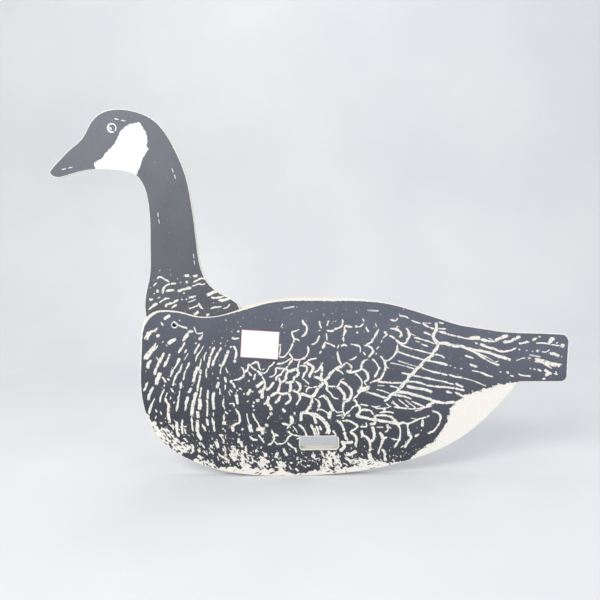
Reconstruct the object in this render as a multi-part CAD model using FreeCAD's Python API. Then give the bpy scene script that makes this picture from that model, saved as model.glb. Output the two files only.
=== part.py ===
import FreeCAD, Part
import math
import os

# Folding goose silhouette decoy: two die-cut body boards with a two-ply head and neck that
# turns between them on a hollow eyelet. Head toward -X, tail toward +X, near side toward -Y.
# Outlines are written in millimetres from the neck pivot: first toward the tail, then up.

os.makedirs("parts", exist_ok=True)

# ---- where the pivot sits in the row frame (origin: bottom centre of the whole decoy) ----
PIVOT_X = -187.75
PIVOT_Z = 216.8
MID_Y = -0.4                  # the washer makes the far side thicker, so the boards sit forward

# ---- boards ----
BOARD_T = 3.2                 # body and neck boards
GAP = 7.0                     # clear space between the two body boards
FAR_SHIFT_X = -1.0            # the far body board is stapled on slightly off register
FAR_SHIFT_Z = 0.9
FAR_TILT = -0.3               # and turned a little, tail down
SPACER_T = GAP / 2.0          # one spacer ply
OUTER_Y = GAP / 2.0 + BOARD_T # outer faces of the body

# ---- slot near the belly ----
SLOT_U0 = 166.5
SLOT_U1 = 219.5
SLOT_V0 = -178.0
SLOT_V1 = -159.5
SLOT_R = 4.5

# ---- pivot eyelet and washer ----
EYELET_BORE_R = 2.7
EYELET_BARREL_R = 3.4
EYELET_FLANGE_R = 4.9
EYELET_LIP_R = 4.7
EYELET_FLANGE_T = 0.9
WASHER_R = 6.6
WASHER_T = 0.8
BODY_HOLE_R = 3.43
NECK_HOLE_R = 3.46            # running clearance for the neck

# ---- wide-crown staples of flat wire: a heavy wire in the body, a narrow one in the neck ----
BODY_SPAN = 15.2              # along the crown, outside to outside
BODY_WIRE = 2.2               # width of the flat wire
NECK_SPAN = 14.6
NECK_WIRE = 1.4
STAPLE_THICK = 0.9            # thickness of the flat wire
STAPLE_BEND_R = 0.75
CLINCH_SPACE = 3.2            # between the tips of the folded-over legs
LEG_PLAY = 0.05               # around each leg where it goes through a board

# centre (u, v), tilt in degrees
RIDGE_FRONT = (154.4, 21.9, 9.0)
RIDGE_REAR = (267.0, 16.4, -3.5)
TAIL = (485.2, -48.4, -11.5)
CROWN = (-58.6, 268.8, -12.5)
BILL = (-131.1, 208.6, 11.5)
NAPE = (7.7, 200.0, -72.0)
THROAT = (-15.0, 143.0, -84.0)
SHOULDER = (29.5, 88.0, -86.0)
BODY_STAPLES = {
    "front_ridge_staple": RIDGE_FRONT,
    "rear_ridge_staple": RIDGE_REAR,
    "tail_staple": TAIL,
}
NECK_STAPLES = {
    "crown_staple": CROWN,
    "bill_staple": BILL,
    "nape_staple": NAPE,
    "throat_staple": THROAT,
    "shoulder_staple": SHOULDER,
}

# ---- price tag stuck on the near body board ----
TAG_U = 114.4
TAG_V = -28.4
TAG_WIDE = 52.2
TAG_TALL = 39.2
TAG_TILT = -4.4
TAG_T = 0.25

SPANS_PER_EDGE = 2            # outline spans in each edge of a spline

# ---- neck root, hidden between the body boards ----
ROOT_R = 36.0

# Body outline, anticlockwise from the top of the tail to the rump.
BODY_CURVE = [
    (519.0, -18.3), (480.0, -16.6), (440.0, -14.2), (410.0, -9.2), (381.0, -3.8), (360.0, 3.0),
    (320.0, 16.5), (290.0, 25.3), (262.0, 30.0), (205.0, 33.2), (150.0, 32.3), (120.0, 28.3),
    (88.0, 19.8), (66.0, 13.0), (45.0, 10.2), (30.0, 11.5), (10.0, 17.3), (-8.0, 19.9),
    (-25.0, 18.6), (-37.0, 11.0), (-43.2, 0.0), (-47.0, -25.0), (-50.8, -75.0), (-46.5, -120.0),
    (-24.0, -165.0), (20.0, -195.4), (80.0, -212.6), (160.0, -216.7), (240.0, -211.8),
    (318.0, -195.3), (381.0, -168.2), (434.0, -122.0), (462.0, -87.5),
]

# Head and neck outline, anticlockwise from the flare's rear corner to the front of the neck.
NECK_CURVE = [
    (88.3, 20.5), (84.8, 28.0), (76.0, 34.6), (63.0, 42.0), (49.0, 53.3), (40.5, 68.0),
    (35.4, 90.0), (32.7, 122.0), (28.6, 165.0), (23.3, 197.0), (12.8, 226.0), (0.3, 250.0),
    (-18.9, 270.6), (-40.0, 279.6), (-63.0, 282.7), (-84.0, 277.8), (-97.5, 266.0),
    (-109.3, 247.0), (-125.0, 233.8), (-141.0, 219.7), (-151.5, 209.5), (-155.0, 203.3),
    (-150.0, 198.0), (-136.0, 198.2), (-113.0, 204.6), (-90.0, 206.8), (-64.0, 205.3),
    (-43.5, 199.5), (-33.0, 185.0), (-27.6, 160.0), (-26.7, 137.0), (-28.0, 101.0),
    (-31.0, 65.0), (-36.4, 44.6), (-39.3, 27.0), (-38.6, 12.0), (-36.0, 0.0),
]

# Spacer plies: edges follow the back a little inside it, so nothing shows past the boards.
FRONT_SPACER_TOP = [(88.9, 18.6), (120.0, 26.9), (150.0, 31.0), (186.0, 31.9)]
FRONT_SPACER_BASE = [(186.0, 8.0), (180.0, 2.0), (88.9, 2.0)]
REAR_SPACER_TOP = [(236.0, 30.6), (262.0, 28.8), (297.0, 22.4)]
REAR_SPACER_BASE = [(297.0, 8.0), (291.0, 2.0), (242.0, 2.0), (236.0, 8.0)]
TAIL_SPACER = (450.0, 516.0, -76.0, -24.0)


def place(u, v, y=0.0):
    """A point given from the pivot, in the row frame."""
    return FreeCAD.Vector(PIVOT_X + u, y, PIVOT_Z + v)


def curve(points):
    """A spline through outline points, as a few smooth edges end to end."""
    spline = Part.BSplineCurve()
    spline.interpolate([place(u, v) for u, v in points])
    knots = spline.getKnots()
    edges = []
    for start in range(0, len(knots) - 1, SPANS_PER_EDGE):
        stop = min(start + SPANS_PER_EDGE, len(knots) - 1)
        piece = spline.copy()
        piece.segment(knots[start], knots[stop])
        edges.append(piece.toShape())
    return edges


def line(a, b):
    return Part.makeLine(place(*a), place(*b))


def arc(a, middle, b):
    return Part.Arc(place(*a), place(*middle), place(*b)).toShape()


def board(edges, y0, thickness):
    """Extrude a closed outline from y0 toward +Y."""
    face = Part.Face(Part.Wire(Part.__sortEdges__(edges)))
    solid = face.extrude(FreeCAD.Vector(0, thickness, 0))
    solid.translate(FreeCAD.Vector(0, y0, 0))
    return solid


def hole(u, v, radius):
    """A round cutter through everything."""
    return Part.makeCylinder(radius, 60, place(u, v, -30), FreeCAD.Vector(0, 1, 0))


def body_outline():
    """Goose body: back, breast, belly and rump in one curve, then the square-ended tail."""
    rump = BODY_CURVE[-1]
    notch = (466.5, -84.6)
    low = (521.5, -85.3)
    low_end = (530.3, -76.5)
    high = (530.5, -30.0)
    top = BODY_CURVE[0]
    return curve(BODY_CURVE) + [
        arc(rump, (464.0, -85.5), notch),
        line(notch, low),
        arc(low, (527.8, -82.8), low_end),
        line(low_end, high),
        arc(high, (527.1, -21.6), top),
    ]


def slot_cutter():
    """Rounded rectangular slot through both body boards."""
    cutter = Part.makeBox(
        SLOT_U1 - SLOT_U0, 60, SLOT_V1 - SLOT_V0, place(SLOT_U0, SLOT_V0, -30)
    )
    corners = [e for e in cutter.Edges if abs(e.BoundBox.YLength - 60) < 1e-6]
    return cutter.makeFillet(SLOT_R, corners)


def staple_frame(solid, spot):
    """Tilt a staple shape drawn at the origin and move it to its spot."""
    u, v, tilt = spot
    solid.rotate(FreeCAD.Vector(0, 0, 0), FreeCAD.Vector(0, -1, 0), tilt)
    solid.translate(place(u, v))
    return solid


def block(x0, x1, y0, y1, z0, z1):
    return Part.makeBox(x1 - x0, y1 - y0, z1 - z0, FreeCAD.Vector(x0, y0, z0))


def leg_cutters(spot, span, wire):
    """The two slits a staple's legs make."""
    half = span / 2.0
    wide = wire / 2.0 + LEG_PLAY
    out = half + LEG_PLAY
    inner = half - STAPLE_THICK - LEG_PLAY
    left = block(-out, -inner, -30, 30, -wide, wide)
    right = block(inner, out, -30, 30, -wide, wide)
    return [staple_frame(left, spot), staple_frame(right, spot)]


def staple(spot, span, wire, crown_y, clinch_y):
    """A staple whose crown lies on crown_y and whose legs fold inward on clinch_y."""
    half = span / 2.0
    wide = wire / 2.0
    side = 1.0 if crown_y > clinch_y else -1.0
    top = crown_y + side * STAPLE_THICK
    bottom = clinch_y - side * STAPLE_THICK
    low, high = min(top, bottom), max(top, bottom)
    frame = block(-half, half, low, high, -wide, wide)
    inside = block(
        -half + STAPLE_THICK, half - STAPLE_THICK,
        min(crown_y, clinch_y), max(crown_y, clinch_y), -9, 9,
    )
    opening = block(
        -CLINCH_SPACE / 2.0, CLINCH_SPACE / 2.0,
        min(bottom, clinch_y) - 1, max(bottom, clinch_y) + 1, -9, 9,
    )
    solid = frame.cut(inside).cut(opening)
    bends = []
    for edge in solid.Edges:
        box = edge.BoundBox
        upright = abs(box.ZLength - wire) < 1e-6
        outside = abs(abs(box.XMin) - half) < 1e-6
        if upright and outside and box.XLength < 1e-6:
            bends.append(edge)
    solid = solid.makeFillet(STAPLE_BEND_R, bends)
    return staple_frame(solid, spot)


def body_panel(y0, shift_u, shift_v, tilt):
    """One die-cut body board with its slot, pivot hole and staple slits."""
    solid = board(body_outline(), y0, BOARD_T)
    solid = solid.cut(slot_cutter())
    solid.rotate(place(0, 0), FreeCAD.Vector(0, -1, 0), tilt)
    solid.translate(FreeCAD.Vector(shift_u, 0, shift_v))
    cutters = [hole(0, 0, BODY_HOLE_R)]
    for spot in BODY_STAPLES.values():
        cutters += leg_cutters(spot, BODY_SPAN, BODY_WIRE)
    return solid.cut(Part.Compound(cutters))


def root_outline():
    """Head and neck, closed by the root that turns between the body boards."""
    angle = math.radians(-52.0)
    foot = (ROOT_R * math.cos(angle), ROOT_R * math.sin(angle))
    middle_angle = math.radians(-116.0)
    middle = (ROOT_R * math.cos(middle_angle), ROOT_R * math.sin(middle_angle))
    heel_low = (80.0, 0.5)
    heel = (88.6, 9.0)
    heel_mid = (86.6, 3.2)
    return curve(NECK_CURVE) + [
        arc(NECK_CURVE[-1], middle, foot),
        line(foot, heel_low),
        arc(heel_low, heel_mid, heel),
        line(heel, NECK_CURVE[0]),
    ]


def neck_panel():
    """The near ply of the head and neck."""
    solid = board(root_outline(), -BOARD_T, BOARD_T)
    cutters = [hole(0, 0, NECK_HOLE_R)]
    for spot in NECK_STAPLES.values():
        cutters += leg_cutters(spot, NECK_SPAN, NECK_WIRE)
    return solid.cut(Part.Compound(cutters))


def spacer_ply(top, base, y0, spot):
    """One ply of a ridge spacer."""
    corners = [top[-1]] + base + [top[0]]
    edges = curve(top)
    for a, b in zip(corners, corners[1:]):
        if a != b:
            edges.append(line(a, b))
    solid = board(edges, y0, SPACER_T)
    return solid.cut(Part.Compound(leg_cutters(spot, BODY_SPAN, BODY_WIRE)))


def tail_spacer_ply(y0):
    """One ply of the block inside the tail."""
    u0, u1, v0, v1 = TAIL_SPACER
    solid = Part.makeBox(u1 - u0, SPACER_T, v1 - v0, place(u0, v0, y0))
    corners = [e for e in solid.Edges if abs(e.BoundBox.YLength - SPACER_T) < 1e-6]
    solid = solid.makeFillet(6.0, corners)
    return solid.cut(Part.Compound(leg_cutters(TAIL, BODY_SPAN, BODY_WIRE)))


def turned(profile):
    """Revolve a radius-and-Y outline about the pivot's axis."""
    points = [FreeCAD.Vector(PIVOT_X + r, y, PIVOT_Z) for r, y in profile]
    points.append(points[0])
    face = Part.Face(Part.makePolygon(points))
    return face.revolve(place(0, 0), FreeCAD.Vector(0, 1, 0), 360)


def pivot_eyelet():
    """Hollow eyelet: domed flange on the near face, rolled lip over the washer."""
    near = -OUTER_Y
    far = OUTER_Y + WASHER_T
    flange = EYELET_FLANGE_T
    profile = [
        (EYELET_BORE_R, near - 0.45 * flange),
        (EYELET_BORE_R + 0.35, near - 0.88 * flange),
        (EYELET_BORE_R + 0.9, near - flange),
        (EYELET_FLANGE_R - 0.8, near - 0.85 * flange),
        (EYELET_FLANGE_R - 0.2, near - 0.45 * flange),
        (EYELET_FLANGE_R, near),
        (EYELET_BARREL_R, near),
        (EYELET_BARREL_R, far),
        (EYELET_LIP_R, far),
        (EYELET_LIP_R - 0.25, far + 0.5 * flange),
        (EYELET_LIP_R - 0.9, far + flange),
        (EYELET_BORE_R + 0.35, far + 0.88 * flange),
        (EYELET_BORE_R, far + 0.45 * flange),
    ]
    return turned(profile)


def pivot_washer():
    """Flat washer under the rolled lip."""
    profile = [
        (BODY_HOLE_R, OUTER_Y),
        (WASHER_R, OUTER_Y),
        (WASHER_R, OUTER_Y + WASHER_T - 0.2),
        (WASHER_R - 0.2, OUTER_Y + WASHER_T),
        (BODY_HOLE_R, OUTER_Y + WASHER_T),
    ]
    return turned(profile)


def price_tag():
    """Rectangular paper tag stuck on the near face."""
    half_u = TAG_WIDE / 2.0
    half_v = TAG_TALL / 2.0
    solid = block(-half_u, half_u, -OUTER_Y - TAG_T, -OUTER_Y, -half_v, half_v)
    corners = [e for e in solid.Edges if abs(e.BoundBox.YLength - TAG_T) < 1e-6]
    solid = solid.makeFillet(0.8, corners)
    return staple_frame(solid, (TAG_U, TAG_V, TAG_TILT))


def all_parts():
    """Every node, by name."""
    half = GAP / 2.0
    near_neck = neck_panel()
    parts = {
        "near_body_panel": body_panel(-OUTER_Y, 0.0, 0.0, 0.0),
        "far_body_panel": body_panel(half, FAR_SHIFT_X, FAR_SHIFT_Z, FAR_TILT),
        "near_neck_panel": near_neck,
        "far_neck_panel": near_neck.mirror(FreeCAD.Vector(0, 0, 0), FreeCAD.Vector(0, 1, 0)),
        "front_spacer_near": spacer_ply(FRONT_SPACER_TOP, FRONT_SPACER_BASE, -half, RIDGE_FRONT),
        "front_spacer_far": spacer_ply(FRONT_SPACER_TOP, FRONT_SPACER_BASE, 0.0, RIDGE_FRONT),
        "rear_spacer_near": spacer_ply(REAR_SPACER_TOP, REAR_SPACER_BASE, -half, RIDGE_REAR),
        "rear_spacer_far": spacer_ply(REAR_SPACER_TOP, REAR_SPACER_BASE, 0.0, RIDGE_REAR),
        "tail_spacer_near": tail_spacer_ply(-half),
        "tail_spacer_far": tail_spacer_ply(0.0),
        "neck_pivot_eyelet": pivot_eyelet(),
        "pivot_washer": pivot_washer(),
        "price_tag": price_tag(),
    }
    for name, spot in BODY_STAPLES.items():
        parts[name] = staple(spot, BODY_SPAN, BODY_WIRE, -OUTER_Y, OUTER_Y)
    for name, spot in NECK_STAPLES.items():
        parts[name] = staple(spot, NECK_SPAN, NECK_WIRE, BOARD_T, -BOARD_T)
    return parts


for name, shape in all_parts().items():
    solid = shape.Solids[0]
    solid.translate(FreeCAD.Vector(0, MID_Y, 0))
    solid.exportStep("parts/" + name + ".step")
    print(name, len(shape.Solids), solid.isValid(), round(solid.Volume / 1000.0, 2), "cm3")
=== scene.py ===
import math
import random

import bmesh
import bpy
import numpy as np
from mathutils import Matrix, Vector, geometry


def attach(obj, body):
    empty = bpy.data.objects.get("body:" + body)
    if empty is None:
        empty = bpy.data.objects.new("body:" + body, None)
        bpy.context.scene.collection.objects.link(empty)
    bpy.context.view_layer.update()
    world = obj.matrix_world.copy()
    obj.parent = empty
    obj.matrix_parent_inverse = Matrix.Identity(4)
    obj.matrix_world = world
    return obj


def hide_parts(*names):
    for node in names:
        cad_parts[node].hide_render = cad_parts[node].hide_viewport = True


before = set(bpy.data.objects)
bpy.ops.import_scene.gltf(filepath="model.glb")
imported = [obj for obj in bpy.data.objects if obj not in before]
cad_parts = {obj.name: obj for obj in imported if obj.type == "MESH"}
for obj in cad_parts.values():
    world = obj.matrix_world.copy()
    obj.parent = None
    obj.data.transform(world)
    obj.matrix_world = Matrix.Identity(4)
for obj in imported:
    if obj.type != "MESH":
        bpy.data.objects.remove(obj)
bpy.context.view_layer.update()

# ---- dimensions, millimetres; outlines and print are written from the neck pivot (u to tail, v up) ----
PIVOT_X, PIVOT_Z, MID_Y = -187.75, 216.8, -0.4
THICK = 3.2             # every board
HALF = 3.5              # half the gap between the body boards
OUT = HALF + THICK      # outer faces of the body, from its middle plane
NEAR_OUT, NEAR_IN = MID_Y - HALF - THICK, MID_Y - HALF
FAR_OUT, FAR_IN = MID_Y + HALF + THICK, MID_Y + HALF
EDGE_SOFT = 0.35        # softened die-cut edge
HOLE_SOFT = 0.12        # the same round the small holes
SPACER_SOFT, WIRE_SOFT = 0.2, 0.16
BIG_LOOP = 500          # square millimetres: an outline or the slot, not a small hole
INK = 0.10              # thickness of the printed film
RIM = 0.75              # unprinted rim along the die-cut edge
SLOT_RIM = 1.3          # the same round the slot
INK_HOLE_R = 4.2        # no print under the eyelet
TWO_TRACKS, THREE_TRACKS = 3.3, 4.7     # stroke widths from which the brush leaves more tracks
RUN = (9, 34)           # how far a bristle track goes before it breaks
SPECK_CHANCE, FLECK_CHANCE = 0.16, 0.24 # for each millimetre of a stroke
BORE_R, BARREL_R, FLANGE_R, LIP_R = 2.7, 3.4, 4.9, 4.7
ROLL = 0.9              # how far the eyelet's rolled ends stand out
WASHER_IN, WASHER_R, WASHER_T, WASHER_CHAMFER = 3.43, 6.6, 0.8, 0.2
TAG_U, TAG_V, TAG_WIDE, TAG_TALL, TAG_THICK = 114.4, -28.4, 52.2, 39.2, 0.16
TAG_BORDER = 0.8
TAG_TURN = math.radians(4.4)
# Where the rim is wider or narrower than RIM: u, v, spread, extra.
NEAR_MARGINS = (
    (-38, 9, 13, 2.6), (-50, -45, 40, 1.1), (0, 18, 24, 0.8), (96, 22, 16, 1.6), (203, 33, 40, 2.2),
    (530, -50, 38, 0.6),
)
FAR_MARGINS = ((530, -50, 60, 1.1), (-50, -60, 60, 0.4), (300, -200, 80, 0.6))
NECK_MARGINS = (
    (-153, 203, 16, 0.5), (-85, 280, 28, 0.45), (22, 200, 45, 0.4), (-28, 120, 55, -0.45), (60, 44, 30, 0.3),
)

# ---- print: each stroke's width, then the points along it as u,v ----
BREAST = """
5.6 -40,-20 -37,-14 -33,-8; 2.8 -34,-9 -28,-8 -23,-4; 3.6 -14,8 -9,11 -5,13; 2.4 -18,4 -15,-1;
3.6 -25,-16 -21,-13; 4.2 -10,-26 -4,-22 1,-19; 2.8 -18,-24 -16,-22; 3.4 -12,-29 -11,-28;
6.2 -42,-48 -38,-41 -33,-35 -28,-30 -24,-25; 3.6 -39,-60 -38,-54 -34,-48; 1.6 -42,-65 -42,-63;
3.4 -30,-69 -28,-60 -23,-52 -19,-44 -16,-38; 1.5 -27,-44 -23,-50; 3.2 -17,-58 -12,-49 -8,-40;
2.9 -9,-72 -5,-63 1,-54 5,-46; 2.2 3,-39 9,-31 13,-24; 3.2 10,-22 16,-15 19,-10 25,-9; 2.4 3,1 9,-2 17,-5;
2.6 6,7 8,6; 1.7 26,-3 30,-12 38,-11; 3.4 36,-17 32,-21; 1.6 38,-12 36,-18; 3 27,-26 29,-25;
2.7 25,-40 29,-33 33,-26; 2 26,-51 29,-43 34,-36 38,-29; 2 12,-39 15,-34; 1.2 17,-39 11,-49;
3.7 22,-80 25,-69 29,-58; 2 30,-64 33,-54 34,-47; 3.2 27,-93 29,-82 32,-70 33,-62; 1.8 38,-50 39,-43 42,-38;
2.9 40,-74 40,-66 41,-60; 2.9 43,-60 45,-50 49,-39 53,-31; 2.9 49,-58 52,-49 57,-40 62,-32;
3.5 58,-56 63,-56 67,-47 72,-36; 1.9 59,-69 60,-63 62,-56; 1.7 67,-60 70,-68; 2 46,-33 48,-30;
1.6 50,-27 50,-25; 1.8 52,-23 53,-22; 2 61,-27 62,-25; 2.5 63,-19 64,-18; 2.3 67,-30 68,-29; 3 70,-23 71,-22;
3 74,-32 76,-30; 2 48,-69 49,-67; 3 65,-73 67,-81; 2.8 65,-91 66,-84; 3 55,-75 57,-74; 3.6 54,-89 57,-80;
2.5 58,-98 58,-89; 2 9,-77 10,-69 13,-62; 3 13,-62 18,-52; 3 4,-89 6,-79; 2 8,-54 5,-63;
2.6 5,-63 -2,-72 -6,-85; 4.6 -29,-83 -26,-74 -22,-66; 2.2 -20,-72 -15,-80; 3 -13,-74 -10,-77;
2 -18,-86 -17,-83; 2.6 -46,-92 -43,-85 -40,-79; 3.3 -41,-105 -38,-95 -33,-86; 2.5 -25,-108 -23,-99 -18,-89;
3 -41,-125 -38,-115 -35,-108 -32,-102; 3 -18,-102 -15,-109 -12,-111; 3.6 -13,-110 -14,-124 -13,-138;
2.2 -9,-88 -6,-94; 1.6 -14,-94 -17,-101; 2 -10,-104 -10,-100; 2.5 -6,-110 -5,-107; 2.9 -3,-121 0,-109 1,-99;
1.6 2,-100 3,-91; 3.1 9,-120 11,-111 14,-100; 3.5 15,-95 19,-88; 2 20,-85 21,-83;
4.2 18,-128 20,-114 23,-102 26,-94; 4.6 30,-103 30,-111 29,-119; 2.2 30,-102 33,-87;
3.1 39,-129 40,-117 40,-105; 2.6 41,-104 42,-91; 3.6 49,-119 48,-106 50,-94; 2.6 64,-119 62,-112 63,-103;
1.6 72,-100 70,-93; 2.4 -25,-121 -23,-126; 1.8 -33,-132 -31,-127; 3 -26,-137 -24,-139;
3.5 -3,-136 -3,-150 -1,-158; 2.5 -9,-140 -8,-148; 2.6 5,-133 4,-142 4,-154; 1.8 7,-146 9,-154;
2 5,-160 9,-162; 3 18,-129 18,-138 19,-150; 2.8 15,-167 19,-175; 4 26,-121 27,-131;
4 26,-134 25,-150 30,-163; 2.5 30,-167 34,-175; 3 38,-132 40,-142; 3 32,-140 37,-150;
3 46,-131 48,-142 49,-151; 2 48,-123 48,-129; 3 63,-126 62,-135; 5 60,-138 65,-139; 1.6 64,-122 68,-126;
3 60,-148 61,-146; 1.8 63,-148 64,-152; 4.4 50,-165 53,-175; 2.4 55,-155 60,-162 61,-167; 3 58,-157 61,-157;
1.5 64,-156 64,-162; 1.8 61,-172 64,-179; 3 42,-170 45,-175; 3.2 43,-178 46,-184;
3 53,-183 58,-188 63,-190 68,-194; 3.4 61,-184 65,-186; 3.4 25,-176 27,-181; 4 73,-142 75,-151;
3 74,-143 79,-140
"""
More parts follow.
